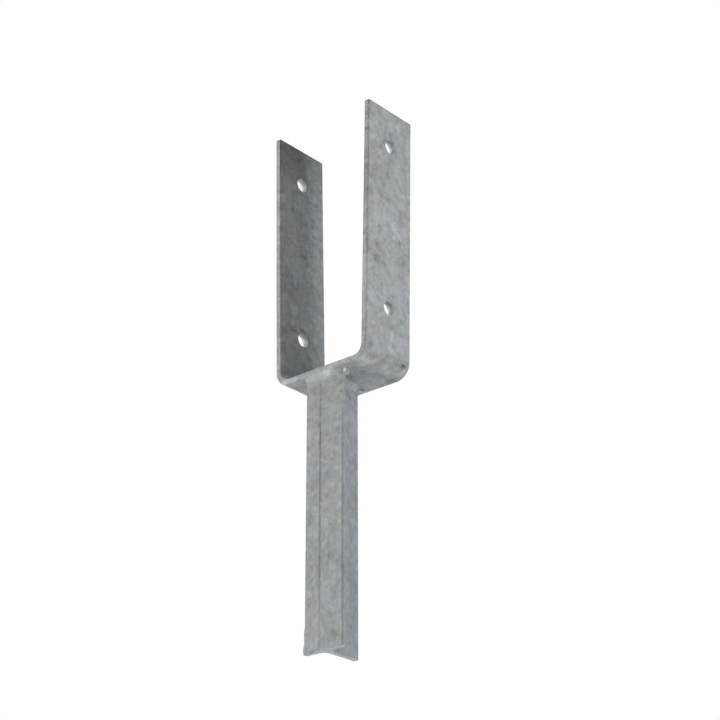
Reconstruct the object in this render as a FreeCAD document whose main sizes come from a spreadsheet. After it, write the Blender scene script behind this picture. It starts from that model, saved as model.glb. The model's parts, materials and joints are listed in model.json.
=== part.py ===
"""Cast-in timber post base: a U bracket bent from flat bar, on a T-section leg.

The weldment stands on the foot of its leg.  X runs across the two cheeks, Y along
the width of the flat bar, +Z up.  The origin is on the foot's level, under the
middle of the flat bar.  All lengths are in millimetres, angles in degrees.
"""
import FreeCAD, Part
import math
import os
import Sketcher

doc = FreeCAD.newDocument("timber_post_base")

# --------------------------------------------------------------------------
# Driving dimensions
# --------------------------------------------------------------------------
SIZES = [
    # U bracket, one length of flat bar
    ("bar_width", 50.0, "width of the flat bar, along Y"),
    ("bar_thickness", 5.0, "thickness of the flat bar"),
    ("bar_edge_radius", 1.2, "rolled rounding of the bar's long edges"),
    ("cut_edge_radius", 0.4, "zinc's rounding of the edges at a cheek's cut end"),
    ("seat_width", 77.0, "between the cheeks' inner faces, at seat level"),
    ("cheek_height", 208.0, "seat to the top of a cheek"),
    ("cheek_splay", 1.2, "each cheek leans out by this angle"),
    ("bend_radius", 7.5, "inner radius of the two bends"),
    ("bolt_hole_diameter", 11.0, "clearance hole for an M10 bolt"),
    ("lower_hole_height", 42.0, "seat to the lower bolt line"),
    ("bolt_line_spacing", 135.0, "lower to upper bolt line"),
    # T-section leg, hot-rolled 35 x 35 x 4.5
    ("leg_length", 206.0, "foot to the underside of the web"),
    ("leg_setback", 5.0, "bar's front edge to the flange's outer face"),
    ("flange_width", 35.0, "width of the tee's flange"),
    ("tee_depth", 35.0, "flange's outer face to the stem's toe"),
    ("flange_thickness", 4.5, "thickness of the flange"),
    ("stem_thickness", 4.5, "thickness of the stem"),
    ("root_radius", 4.5, "fillet between flange and stem"),
    ("flange_toe_radius", 2.5, "rounding of the flange's inner toes"),
    ("flange_corner_radius", 0.8, "rounding of the flange's outer corners"),
    ("stem_toe_radius", 1.0, "rounding of the stem's toe"),
    ("seam_offset", 3.7, "rolling seam, off the flange's middle"),
    ("seam_width", 1.2, "mouth of the rolling seam"),
    ("seam_depth", 0.5, "depth of the rolling seam"),
    # Fillet welds between leg and web
    ("flange_weld_height", 4.5, "front bead, down the flange"),
    ("flange_weld_inset", 0.5, "front bead's ends, in from the flange's sides"),
    ("stem_weld_leg", 5.0, "stem beads, both legs"),
    ("stem_weld_inset", 1.5, "stem beads' ends, in from the stem's toe"),
    ("weld_crown", 0.5, "swell of a bead's face"),
]

sheet = doc.addObject("Spreadsheet::Sheet", "Sizes")
size = {}
for row, (alias, value, meaning) in enumerate(SIZES, start=1):
    sheet.set(f"A{row}", alias)
    sheet.set(f"B{row}", str(value))
    sheet.set(f"C{row}", meaning)
    sheet.setAlias(f"B{row}", alias)
    size[alias] = value
doc.recompute()

# Sizes that follow from the driving ones, as expressions on the sheet.
BAR_MIDDLE_TO_FLANGE = "(Sizes.bar_width / 2 - Sizes.leg_setback)"
FRONT_WELD_WIDTH = "(Sizes.leg_setback - Sizes.bar_edge_radius)"
SEAT_LEVEL = "(Sizes.leg_length + Sizes.bar_thickness)"

# The same sizes as numbers, only to draw each sketch near its solution.
flange_front = size["leg_setback"] - size["bar_width"] / 2
flange_back = flange_front + size["flange_thickness"]
stem_toe = flange_front + size["tee_depth"]
front_weld_width = size["leg_setback"] - size["bar_edge_radius"]
seat_level = size["leg_length"] + size["bar_thickness"]


# --------------------------------------------------------------------------
# Helpers
# --------------------------------------------------------------------------
def vector(x, y):
    return FreeCAD.Vector(x, y, 0)


def add_body(name):
    body = doc.addObject("PartDesign::Body", name)
    body.Label = name
    return body


def origin_feature(body, role):
    return next(item for item in body.Origin.OriginFeatures if item.Role == role)


def add_sketch(body, name, plane):
    sketch = body.newObject("Sketcher::SketchObject", name)
    sketch.AttachmentSupport = [(origin_feature(body, plane), "")]
    sketch.MapMode = "FlatFace"
    return sketch


def add_feature(body, kind, name, profile, **settings):
    """A sketch-based PartDesign feature; text settings are expressions on the sheet."""
    feature = body.newObject("PartDesign::" + kind, name)
    feature.Profile = profile
    feature.Refine = True
    for key, value in settings.items():
        if isinstance(value, str) and "Sizes." in value:
            feature.setExpression(key, value)
        else:
            setattr(feature, key, value)
    body.Tip = feature
    doc.recompute()
    return feature


def add_fillet(body, name, base, edges, radius):
    """Rounds the named edges of the base feature; the radius is an expression."""
    fillet = body.newObject("PartDesign::Fillet", name)
    fillet.Base = (base, edges)
    fillet.setExpression("Radius", radius)
    body.Tip = fillet
    doc.recompute()
    return fillet


class Outline:
    """A closed sketch outline of lines and arcs, joined end to start in drawing order."""

    START, END, CENTRE = range(1, 4)
    X_AXIS, Y_AXIS = range(-1, -3, -1)
    ORIGIN = (X_AXIS, START)

    def __init__(self, sketch):
        self.sketch = sketch

    def line(self, start, end, construction=False):
        segment = Part.LineSegment(vector(*start), vector(*end))
        return self.sketch.addGeometry(segment, construction)

    def arc(self, centre, radius, from_deg, to_deg):
        """Counter-clockwise arc from one angle to the other."""
        circle = Part.Circle(vector(*centre), FreeCAD.Vector(0, 0, 1), radius)
        arc = Part.ArcOfCircle(circle, math.radians(from_deg), math.radians(to_deg))
        return self.sketch.addGeometry(arc, False)

    def circle(self, centre, radius):
        circle = Part.Circle(vector(*centre), FreeCAD.Vector(0, 0, 1), radius)
        return self.sketch.addGeometry(circle, False)

    def point(self, place):
        return self.sketch.addGeometry(Part.Point(vector(*place)), True)

    def tie(self, kind, *arguments):
        self.sketch.addConstraint(Sketcher.Constraint(kind, *arguments))

    def measure(self, name, expression, kind, *arguments):
        """A named dimension, bound to the sheet by its expression."""
        index = self.sketch.addConstraint(Sketcher.Constraint(kind, *arguments))
        self.sketch.renameConstraint(index, name)
        self.sketch.setExpression("Constraints." + name, expression)

    def join(self, first, first_end, second, second_end, smooth=False):
        self.tie("Tangent" if smooth else "Coincident", first, first_end, second, second_end)

    def finish(self):
        """Recompute, and insist that nothing is left free to move."""
        doc.recompute()
        if self.sketch.solve() != 0:
            raise RuntimeError(self.sketch.Name + " doesn't solve")
        if not self.sketch.FullyConstrained:
            raise RuntimeError(self.sketch.Name + " is not fully constrained")


# --------------------------------------------------------------------------
# U bracket
# --------------------------------------------------------------------------
def make_u_bracket():
    """Flat bar bent twice: half the profile is padded, mirrored and drilled."""
    body = add_body("u_bracket")
    sketch = add_sketch(body, "bent_bar_half", "XZ_Plane")
    draw = Outline(sketch)

    thickness, inner = size["bar_thickness"], size["bend_radius"]
    outer = inner + thickness
    splay = math.radians(size["cheek_splay"])
    lean = (math.sin(splay), math.cos(splay))        # up along a cheek
    out = (math.cos(splay), -math.sin(splay))        # outwards through a cheek
    bend_x = size["seat_width"] / 2 + inner * math.tan(splay) - inner / math.cos(splay)
    bend = (bend_x, seat_level + inner)

    def on_cheek(radius, height):
        foot = (bend[0] + radius * out[0], bend[1] + radius * out[1])
        return (foot[0] + height * lean[0], foot[1] + height * lean[1])

    run = (size["cheek_height"] - inner + inner * math.sin(splay)) / math.cos(splay)
    underside_start = (0, seat_level - thickness)
    underside_end = (bend[0], seat_level - thickness)
    seat_end = (bend[0], seat_level)
    splay_angle = -size["cheek_splay"]

    underside = draw.line(underside_start, underside_end)
    outer_bend = draw.arc(bend, outer, -90, splay_angle)
    outer_face = draw.line(on_cheek(outer, 0), on_cheek(outer, run))
    cut_end = draw.line(on_cheek(outer, run), on_cheek(inner, run))
    inner_face = draw.line(on_cheek(inner, run), on_cheek(inner, 0))
    inner_bend = draw.arc(bend, inner, -90, splay_angle)
    seat = draw.line(seat_end, (0, seat_level))
    middle = draw.line((0, seat_level), underside_start)
    corner = draw.point((size["seat_width"] / 2, seat_level))

    draw.join(underside, draw.END, outer_bend, draw.START, smooth=True)
    draw.join(outer_bend, draw.END, outer_face, draw.START, smooth=True)
    draw.join(outer_face, draw.END, cut_end, draw.START)
    draw.join(cut_end, draw.END, inner_face, draw.START)
    draw.join(inner_face, draw.END, inner_bend, draw.END, smooth=True)
    draw.join(inner_bend, draw.START, seat, draw.START, smooth=True)
    draw.join(seat, draw.END, middle, draw.START)
    draw.join(middle, draw.END, underside, draw.START)
    draw.tie("PointOnObject", underside, draw.START, draw.Y_AXIS)
    draw.tie("PointOnObject", seat, draw.END, draw.Y_AXIS)
    draw.tie("Horizontal", underside)
    draw.tie("Horizontal", seat)
    draw.tie("Coincident", outer_bend, draw.CENTRE, inner_bend, draw.CENTRE)
    draw.tie("Perpendicular", cut_end, outer_face)
    draw.tie("Parallel", inner_face, outer_face)
    draw.tie("PointOnObject", corner, draw.START, seat)
    draw.tie("PointOnObject", corner, draw.START, inner_face)

    draw.measure("underside_level", "Sizes.leg_length",
                 "DistanceY", *draw.ORIGIN, underside, draw.START, seat_level - thickness)
    draw.measure("thickness", "Sizes.bar_thickness",
                 "DistanceY", middle, draw.END, middle, draw.START, thickness)
    draw.measure("half_seat", "Sizes.seat_width / 2",
                 "DistanceX", *draw.ORIGIN, corner, draw.START, size["seat_width"] / 2)
    draw.measure("inner_radius", "Sizes.bend_radius", "Radius", inner_bend, inner)
    draw.measure("cheek_top", "Sizes.cheek_height",
                 "DistanceY", seat, draw.END, inner_face, draw.START, size["cheek_height"])
    draw.measure("cheek_angle", "(90 - Sizes.cheek_splay) * 1 deg",
                 "Angle", draw.X_AXIS, draw.START, outer_face, draw.START,
                 math.radians(90 - size["cheek_splay"]))
    draw.finish()

    bar = add_feature(body, "Pad", "half_bar", sketch, SideType="Symmetric",
                      Length="Sizes.bar_width")
    mirrored = body.newObject("PartDesign::Mirrored", "whole_bar")
    mirrored.Originals = [bar]
    mirrored.MirrorPlane = (origin_feature(body, "YZ_Plane"), [""])
    mirrored.Refine = True
    body.Tip = mirrored
    doc.recompute()

    rolled = add_fillet(body, "rolled_edges", mirrored,
                        edges_of(mirrored.Shape, along_the_bar), "Sizes.bar_edge_radius")
    add_fillet(body, "cut_edges", rolled,
               edges_of(rolled.Shape, round_a_cut_end), "Sizes.cut_edge_radius")

    holes = add_sketch(body, "bolt_lines", "YZ_Plane")
    drill = Outline(holes)
    lower_height = seat_level + size["lower_hole_height"]
    upper_height = lower_height + size["bolt_line_spacing"]
    hole_radius = size["bolt_hole_diameter"] / 2
    lower = drill.circle((0, lower_height), hole_radius)
    upper = drill.circle((0, upper_height), hole_radius)
    drill.tie("PointOnObject", lower, drill.CENTRE, drill.Y_AXIS)
    drill.tie("PointOnObject", upper, drill.CENTRE, drill.Y_AXIS)
    drill.tie("Equal", lower, upper)
    drill.measure("hole_diameter", "Sizes.bolt_hole_diameter", "Diameter", lower, 2 * hole_radius)
    drill.measure("lower_line", SEAT_LEVEL + " + Sizes.lower_hole_height",
                  "DistanceY", *drill.ORIGIN, lower, drill.CENTRE, lower_height)
    drill.measure("line_spacing", "Sizes.bolt_line_spacing",
                  "DistanceY", lower, drill.CENTRE, upper, drill.CENTRE,
                  size["bolt_line_spacing"])
    drill.finish()
    add_feature(body, "Pocket", "bolt_holes", holes, SideType="Symmetric", Type="ThroughAll")
    return body


def at_a_cut_end(point):
    """Within one bar thickness of a cheek's top."""
    return point.z > seat_level + size["cheek_height"] - size["bar_thickness"]


def along_the_bar(ends):
    """Both ends on one side face of the bar, and not both at a cheek's top."""
    half_width = size["bar_width"] / 2
    on_one_side = any(all(abs(end.y - face) < 1e-6 for end in ends)
                      for face in (-half_width, half_width))
    return on_one_side and not all(at_a_cut_end(end) for end in ends)


def round_a_cut_end(ends):
    return all(at_a_cut_end(end) for end in ends)


def edges_of(shape, wanted):
    """Names of the edges whose two end points pass the test."""
    return [f"Edge{number}" for number, edge in enumerate(shape.Edges, start=1)
            if wanted([vertex.Point for vertex in edge.Vertexes])]


# --------------------------------------------------------------------------
# Leg
# --------------------------------------------------------------------------
def make_tee_leg():
    """Hot-rolled tee, sawn square; its flange faces the bar's front edge."""
    body = add_body("tee_leg")
    sketch = add_sketch(body, "tee_section", "XY_Plane")
    draw = Outline(sketch)

    half_flange, half_stem = size["flange_width"] / 2, size["stem_thickness"] / 2
    root, toe = size["root_radius"], size["flange_toe_radius"]
    corner, tip = size["flange_corner_radius"], size["stem_toe_radius"]
    seam, mouth = -size["seam_offset"], size["seam_width"] / 2
    front, back = flange_front, flange_back

    # Counter-clockwise from the front face, right of the seam.
    front_right = draw.line((seam + mouth, front), (half_flange - corner, front))
    right_corner = draw.arc((half_flange - corner, front + corner), corner, -90, 0)
    right_side = draw.line((half_flange, front + corner), (half_flange, back - toe))
    right_toe = draw.arc((half_flange - toe, back - toe), toe, 0, 90)
    right_back = draw.line((half_flange - toe, back), (half_stem + root, back))
    right_root = draw.arc((half_stem + root, back + root), root, 180, 270)
    right_stem = draw.line((half_stem, back + root), (half_stem, stem_toe - tip))
    right_tip = draw.arc((half_stem - tip, stem_toe - tip), tip, 0, 90)
    toe_face = draw.line((half_stem - tip, stem_toe), (tip - half_stem, stem_toe))
    left_tip = draw.arc((tip - half_stem, stem_toe - tip), tip, 90, 180)
    left_stem = draw.line((-half_stem, stem_toe - tip), (-half_stem, back + root))
    left_root = draw.arc((-half_stem - root, back + root), root, 270, 360)
    left_back = draw.line((-half_stem - root, back), (toe - half_flange, back))
    left_toe = draw.arc((toe - half_flange, back - toe), toe, 90, 180)
    left_side = draw.line((-half_flange, back - toe), (-half_flange, front + corner))
    left_corner = draw.arc((corner - half_flange, front + corner), corner, 180, 270)
    front_left = draw.line((corner - half_flange, front), (seam - mouth, front))
    seam_in = draw.line((seam - mouth, front), (seam, front + size["seam_depth"]))
    seam_out = draw.line((seam, front + size["seam_depth"]), (seam + mouth, front))

    lines_and_arcs = [
        (front_right, right_corner), (right_corner, right_side), (right_side, right_toe),
        (right_toe, right_back), (right_stem, right_tip), (right_tip, toe_face),
        (toe_face, left_tip), (left_tip, left_stem), (left_back, left_toe),
        (left_toe, left_side), (left_side, left_corner), (left_corner, front_left),
    ]
    for first, second in lines_and_arcs:
        draw.join(first, draw.END, second, draw.START, smooth=True)
    # The two root fillets bulge inwards, so each is drawn against the outline's run.
    draw.join(right_back, draw.END, right_root, draw.END, smooth=True)
    draw.join(right_root, draw.START, right_stem, draw.START, smooth=True)
    draw.join(left_stem, draw.END, left_root, draw.END, smooth=True)
    draw.join(left_root, draw.START, left_back, draw.START, smooth=True)
    draw.join(front_left, draw.END, seam_in, draw.START)
    draw.join(seam_in, draw.END, seam_out, draw.START)
    draw.join(seam_out, draw.END, front_right, draw.START)

    for level in (front_right, front_left, right_back, left_back, toe_face):
        draw.tie("Horizontal", level)
    for upright in (right_side, left_side, right_stem, left_stem):
        draw.tie("Vertical", upright)
    draw.tie("Equal", right_corner, left_corner)
    draw.tie("Equal", right_toe, left_toe)
    draw.tie("Equal", right_root, left_root)
    draw.tie("Equal", right_tip, left_tip)
    draw.tie("Equal", seam_in, seam_out)
    draw.tie("Symmetric", right_side, draw.START, left_side, draw.END, draw.Y_AXIS)
    draw.tie("Symmetric", right_stem, draw.START, left_stem, draw.END, draw.Y_AXIS)

    draw.measure("front_face", BAR_MIDDLE_TO_FLANGE,
                 "DistanceY", front_right, draw.START, *draw.ORIGIN, -front)
    draw.measure("width", "Sizes.flange_width",
                 "DistanceX", left_side, draw.END, right_side, draw.START, 2 * half_flange)
    draw.measure("depth", "Sizes.tee_depth",
                 "DistanceY", front_right, draw.START, toe_face, draw.START, size["tee_depth"])
    draw.measure("flange", "Sizes.flange_thickness",
                 "DistanceY", front_right, draw.START, right_back, draw.START, back - front)
    draw.measure("stem", "Sizes.stem_thickness",
                 "DistanceX", left_stem, draw.END, right_stem, draw.START, 2 * half_stem)
    draw.measure("corner_rounding", "Sizes.flange_corner_radius", "Radius", right_corner, corner)
    draw.measure("toe_rounding", "Sizes.flange_toe_radius", "Radius", right_toe, toe)
    draw.measure("root_fillet", "Sizes.root_radius", "Radius", right_root, root)
    draw.measure("tip_rounding", "Sizes.stem_toe_radius", "Radius", right_tip, tip)
    draw.measure("seam_place", "Sizes.seam_offset",
                 "DistanceX", seam_in, draw.END, *draw.ORIGIN, -seam)
    draw.measure("seam_mouth", "Sizes.seam_width",
                 "DistanceX", seam_in, draw.START, seam_out, draw.END, 2 * mouth)
    draw.measure("seam_bottom", "Sizes.seam_depth",
                 "DistanceY", seam_in, draw.START, seam_in, draw.END, size["seam_depth"])
    draw.finish()

    add_feature(body, "Pad", "leg", sketch, Length="Sizes.leg_length")
    return body


# --------------------------------------------------------------------------
# Welds
# --------------------------------------------------------------------------
def crowned_section(sketch, corner, out, down, expressions):
    """Section of a fillet bead under the web: two straight legs and a swollen face.

    corner is where web and leg meet; the bead reaches out along the web and down
    the leg.  A negative out draws it to the left.
    """
    draw = Outline(sketch)
    x, z = corner
    side = 1 if out > 0 else -1
    chord = math.hypot(out, down)
    crown = size["weld_crown"]
    radius = (chord ** 2 / 4 + crown ** 2) / (2 * crown)
    # The face's centre lies on the corner's side of the chord between the toes.
    away = (side * down / chord, -abs(out) / chord)
    back_off = radius - crown
    centre = (x + out / 2 - away[0] * back_off, z - down / 2 - away[1] * back_off)

    web_toe, leg_toe = (x + out, z), (x, z - down)
    angles = [math.degrees(math.atan2(p[1] - centre[1], p[0] - centre[0])) for p in (web_toe, leg_toe)]
    first, last = (angles[1], angles[0]) if side > 0 else (angles[0], angles[1])
    on_web = draw.line(corner, web_toe)
    on_leg = draw.line(leg_toe, corner)
    face = draw.arc(centre, radius, first, last if last > first else last + 360)
    web_end, leg_end = (draw.END, draw.START) if side > 0 else (draw.START, draw.END)
    draw.join(on_web, draw.END, face, web_end)
    draw.join(on_leg, draw.START, face, leg_end)
    draw.join(on_leg, draw.END, on_web, draw.START)
    draw.tie("Horizontal", on_web)
    draw.tie("Vertical", on_leg)

    ends = (draw.ORIGIN + (on_web, draw.START)) if x > 0 else ((on_web, draw.START) + draw.ORIGIN)
    draw.measure("corner_place", expressions["place"], "DistanceX", *ends, abs(x))
    draw.measure("web_level", "Sizes.leg_length", "DistanceY", *draw.ORIGIN, on_web, draw.START, z)
    reach = (on_web, draw.START, on_web, draw.END)
    if side < 0:
        reach = (on_web, draw.END, on_web, draw.START)
    draw.measure("leg_on_web", expressions["out"], "DistanceX", *reach, abs(out))
    draw.measure("leg_on_tee", expressions["down"],
                 "DistanceY", on_leg, draw.START, on_leg, draw.END, down)
    squares = f"({expressions['out']}^2 + {expressions['down']}^2) / 4"
    draw.measure("face_radius", f"({squares} + Sizes.weld_crown^2) / (2 * Sizes.weld_crown)",
                 "Radius", face, radius)
    # The bead's end is turned about the corner's upright.
    upright = draw.line(corner, (x, z + down), construction=True)
    draw.tie("Coincident", upright, draw.START, on_web, draw.START)
    draw.tie("Vertical", upright)
    draw.tie("Equal", upright, on_leg)
    draw.finish()


def make_flange_weld():
    """Bead across the flange's outer face, filling the ledge under the web."""
    body = add_body("weld_flange")
    section = add_sketch(body, "bead_section", "YZ_Plane")
    half_run = f"(Sizes.flange_width / 2 - Sizes.flange_weld_inset - {FRONT_WELD_WIDTH})"
    section.setExpression(".AttachmentOffset.Base.z", half_run)
    crowned_section(section, (flange_front, size["leg_length"]), -front_weld_width,
                    size["flange_weld_height"],
                    {"place": BAR_MIDDLE_TO_FLANGE, "out": FRONT_WELD_WIDTH,
                     "down": "Sizes.flange_weld_height"})
    add_feature(body, "Pad", "bead", section, Length="2 * " + half_run, Reversed=True)
    end = add_feature(body, "Revolution", "bead_end", section,
                      ReferenceAxis=(section, ["Axis0"]), Angle=90.0)
    mirrored = body.newObject("PartDesign::Mirrored", "bead_ends")
    mirrored.Originals = [end]
    mirrored.MirrorPlane = (origin_feature(body, "YZ_Plane"), [""])
    mirrored.Refine = True
    body.Tip = mirrored
    doc.recompute()
    return body


def make_stem_weld(name, side):
    """Bead along one side of the stem, run into the root behind the flange."""
    body = add_body(name)
    section = add_sketch(body, "bead_section", "XZ_Plane")
    # The sketch's normal is -Y, so a place along +Y is a negative offset.
    from_middle = (f"(Sizes.tee_depth - {BAR_MIDDLE_TO_FLANGE}"
                   " - Sizes.stem_weld_inset - Sizes.stem_weld_leg)")
    section.setExpression(".AttachmentOffset.Base.z", "-" + from_middle)
    leg = size["stem_weld_leg"]
    crowned_section(section, (side * size["stem_thickness"] / 2, size["leg_length"]), side * leg, leg,
                    {"place": "Sizes.stem_thickness / 2", "out": "Sizes.stem_weld_leg",
                     "down": "Sizes.stem_weld_leg"})
    run = ("Sizes.tee_depth - Sizes.flange_thickness"
           " - Sizes.stem_weld_inset - Sizes.stem_weld_leg")
    add_feature(body, "Pad", "bead", section, Length=run)
    add_feature(body, "Revolution", "bead_end", section,
                ReferenceAxis=(section, ["Axis0"]), Angle=90.0, Reversed=side < 0)

    # Clear of the tee's root fillet.
    relief = add_sketch(body, "root_relief", "XY_Plane")
    draw = Outline(relief)
    root, half_stem = size["root_radius"], size["stem_thickness"] / 2
    x_stem, x_end = side * half_stem, side * (half_stem + root)
    along_flange = draw.line((x_stem, flange_back), (x_end, flange_back))
    along_stem = draw.line((x_stem, flange_back + root), (x_stem, flange_back))
    start = 180 if side > 0 else 270
    fillet = draw.arc((x_end, flange_back + root), root, start, start + 90)
    flange_end, stem_end = (draw.END, draw.START) if side > 0 else (draw.START, draw.END)
    draw.join(along_flange, draw.START, along_stem, draw.END)
    draw.join(along_flange, draw.END, fillet, flange_end, smooth=True)
    draw.join(along_stem, draw.START, fillet, stem_end, smooth=True)
    draw.tie("Horizontal", along_flange)
    draw.tie("Vertical", along_stem)
    ends = (draw.ORIGIN + (along_stem, draw.END)) if side > 0 else ((along_stem, draw.END) + draw.ORIGIN)
    draw.measure("stem_side", "Sizes.stem_thickness / 2", "DistanceX", *ends, half_stem)
    draw.measure("flange_inner_face", f"{BAR_MIDDLE_TO_FLANGE} - Sizes.flange_thickness",
                 "DistanceY", along_stem, draw.END, *draw.ORIGIN, -flange_back)
    draw.measure("root_fillet", "Sizes.root_radius", "Radius", fillet, root)
    draw.finish()
    add_feature(body, "Pocket", "root_cut", relief, SideType="Symmetric", Type="ThroughAll")
    return body


# --------------------------------------------------------------------------
# Build, check and write
# --------------------------------------------------------------------------
bodies = [
    make_u_bracket(),
    make_tee_leg(),
    make_flange_weld(),
    make_stem_weld("weld_stem_right", 1),
    make_stem_weld("weld_stem_left", -1),
]
doc.recompute()

for item in doc.Objects:
    if "Invalid" in item.State or "Error" in item.State:
        raise RuntimeError(f"{item.Name}: {item.State}")
for body in bodies:
    if body.Shape.isNull() or not body.Shape.isValid():
        raise RuntimeError(body.Label + " has no valid shape")

os.makedirs("parts", exist_ok=True)
for body in bodies:
    body.Shape.exportStep(f"parts/{body.Label}.step")
    box = body.Shape.BoundBox
    print(f"{body.Label}: {len(body.Shape.Solids)} solid, {body.Shape.Volume:.1f} mm3, "
          f"x {box.XMin:.2f}..{box.XMax:.2f}, y {box.YMin:.2f}..{box.YMax:.2f}, "
          f"z {box.ZMin:.2f}..{box.ZMax:.2f}")
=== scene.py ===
# %% [markdown]
# # A galvanised timber post base
# The object is a steel fork on a T-section leg.  The fork is one length of flat bar,
# bent twice, and a timber post is bolted between its cheeks.  The leg is cast into a
# concrete footing.  Fork, leg and welds were dipped together in molten zinc, and that
# dull, mottled coat is what the eye sees.
#
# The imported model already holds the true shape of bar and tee, so these two keep
# their meshes here and only get their coat.  What a section and a sketch cannot say is
# made in this lesson: the rippled weld beads, the drop beside one of them, the thick
# zinc that froze at the foot, and the zinc that nearly fills the flange's seam.

# %% Load the fixed frame
import json
import math
import bpy
import numpy as np
from mathutils import Matrix, Vector


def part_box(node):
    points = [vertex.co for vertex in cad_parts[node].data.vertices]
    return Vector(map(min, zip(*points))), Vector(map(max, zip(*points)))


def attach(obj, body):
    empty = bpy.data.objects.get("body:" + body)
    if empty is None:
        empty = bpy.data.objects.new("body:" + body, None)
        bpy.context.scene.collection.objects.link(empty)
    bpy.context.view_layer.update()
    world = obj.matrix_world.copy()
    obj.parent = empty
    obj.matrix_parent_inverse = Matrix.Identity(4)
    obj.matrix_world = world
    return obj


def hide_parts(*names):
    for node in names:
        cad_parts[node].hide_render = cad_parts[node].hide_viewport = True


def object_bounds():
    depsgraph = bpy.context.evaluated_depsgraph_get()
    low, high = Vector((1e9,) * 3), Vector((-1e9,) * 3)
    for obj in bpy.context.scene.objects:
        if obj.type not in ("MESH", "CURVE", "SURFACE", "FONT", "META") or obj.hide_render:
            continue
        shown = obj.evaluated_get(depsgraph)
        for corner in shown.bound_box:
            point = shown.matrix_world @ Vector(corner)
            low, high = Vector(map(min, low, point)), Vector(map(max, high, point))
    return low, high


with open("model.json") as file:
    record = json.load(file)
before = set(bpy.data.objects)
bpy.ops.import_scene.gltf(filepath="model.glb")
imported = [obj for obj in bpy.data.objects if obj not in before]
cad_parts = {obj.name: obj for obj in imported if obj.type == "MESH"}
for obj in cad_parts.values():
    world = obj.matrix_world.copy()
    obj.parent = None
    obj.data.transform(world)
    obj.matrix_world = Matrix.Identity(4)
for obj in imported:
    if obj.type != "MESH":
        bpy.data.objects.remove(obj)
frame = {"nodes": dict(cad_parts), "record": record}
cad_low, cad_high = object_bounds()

MM = 0.001
print("object stands", round((cad_high.z - cad_low.z) / MM), "mm high")

# %% [markdown]
# ## Where things are on the steel
# A zinc run or a pit belongs to a place on the object, such as a hand's breadth above
# the seat.  So every place below is measured from the seat, from the underside of the
# web or from a cheek's face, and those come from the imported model.  The cheeks lean
# outwards a little.  The two bolt mounts give the width over the cheeks at two heights,
# and the lean follows from them.

# %% Levels and faces, in millimetres
mounts = {mount["name"]: mount for mount in frame["record"]["mounts"]}
fork_low, fork_high = (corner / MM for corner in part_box("u_bracket"))
leg_low, leg_high = (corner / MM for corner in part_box("tee_leg"))

SEAT = mounts["post_seat"]["pos_m"][2] / MM
WEB = fork_low.z
BAR_THICKNESS = SEAT - WEB
HALF_BAR = fork_high.y
FLANGE = leg_low.y
HALF_FLANGE = leg_high.x

bolts = [mounts[name] for name in ("bolt_lower", "bolt_upper")]
LOWER_BOLT, UPPER_BOLT = (bolt["pos_m"][2] / MM for bolt in bolts)
LOWER_HALF, UPPER_HALF = (bolt["dims"]["length_mm"] / 2 for bolt in bolts)
BOLT_RADIUS = bolts[0]["dims"]["r_mm"]
LEAN = (UPPER_HALF - LOWER_HALF) / (UPPER_BOLT - LOWER_BOLT)

# Neither a box nor a mount gives these.  The groove is the seam rolled into the flange.
OUTER_BEND = 12.5
TEE_THICKNESS = 4.5
SEAM_X = -3.7
GROOVE_HALF_MOUTH = 0.6
GROOVE_DEPTH = 0.5


def cheek_x(z):
    """Half the width over the cheeks at a height, which may be a number or a signal."""
    return LOWER_HALF + LEAN * (z - LOWER_BOLT)


def right_cheek(y, up):
    """A place on the right cheek's outer face, `up` above the seat."""
    return (cheek_x(SEAT + up), y, SEAT + up)


def left_cheek(y, up):
    """A place on the left cheek's inner face, `up` above the seat."""
    return (BAR_THICKNESS - cheek_x(SEAT + up), y, SEAT + up)


def on_flange(x, down):
    """A place on the flange's outer face, `down` below the web."""
    return (x, FLANGE, WEB - down)


def on_stem(y, down):
    """A place on the stem's right side, `down` below the web."""
    return (TEE_THICKNESS / 2, y, WEB - down)


lean_angle = math.degrees(math.atan(LEAN))
print("seat at", round(SEAT), "mm, cheeks lean", round(lean_angle, 2), "degrees")

# %% [markdown]
# ## The camera
# The object is seen from a little below its foot: the underside of the web shows, and
# so does the cut end of the leg.  A long lens from about one and a half metres keeps
# the cheeks nearly parallel.  The camera could be aimed with a Track To constraint, but
# three axes worked out from azimuth, elevation and roll leave nothing to chance, so
# that is the way used here.

# %% Camera
VIEW_DISTANCE = 1467 * MM
AIM_RIGHT, AIM_UP = 12.7 * MM, 17.15 * MM    # from the middle of the web's underside


def view_axes(azimuth, elevation, roll):
    """Right, up and backward axes of a camera that looks along +Y at azimuth 0."""
    a, e, r = (math.radians(angle) for angle in (azimuth, elevation, roll))
    back = Vector((math.sin(a) * math.cos(e), -math.cos(a) * math.cos(e), math.sin(e)))
    level = Vector((math.cos(a), math.sin(a), 0))
    rise = back.cross(level)
    right = math.cos(r) * level + math.sin(r) * rise
    up = math.cos(r) * rise - math.sin(r) * level
    return right, up, back


right, up, back = view_axes(azimuth=40.39, elevation=-24.72, roll=-0.16)
aim = Vector((0, 0, WEB * MM)) + AIM_RIGHT * right + AIM_UP * up
camera = bpy.data.objects.new("camera", bpy.data.cameras.new("camera"))
bpy.context.scene.collection.objects.link(camera)
camera.matrix_world = Matrix((right, up, back)).transposed().to_4x4()
camera.location = aim + VIEW_DISTANCE * back
camera.data.sensor_width = 36.0
camera.data.lens = 100.14
camera.data.clip_start = 50 * MM
bpy.context.scene.camera = camera
print("camera stands", round(camera.location.z / MM), "mm from the foot's level")

# %% [markdown]
# ## Shader maths that reads like a formula
# Zinc needs a few dozen Math nodes.  Wired one by one they cannot be read, so two
# small classes do the wiring.  A `Signal` is a node's output: adding or multiplying
# signals adds the Math node.  A `Shader` is a node tree: its one method makes any
# other node, sets its settings first and then feeds its sockets.

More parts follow.
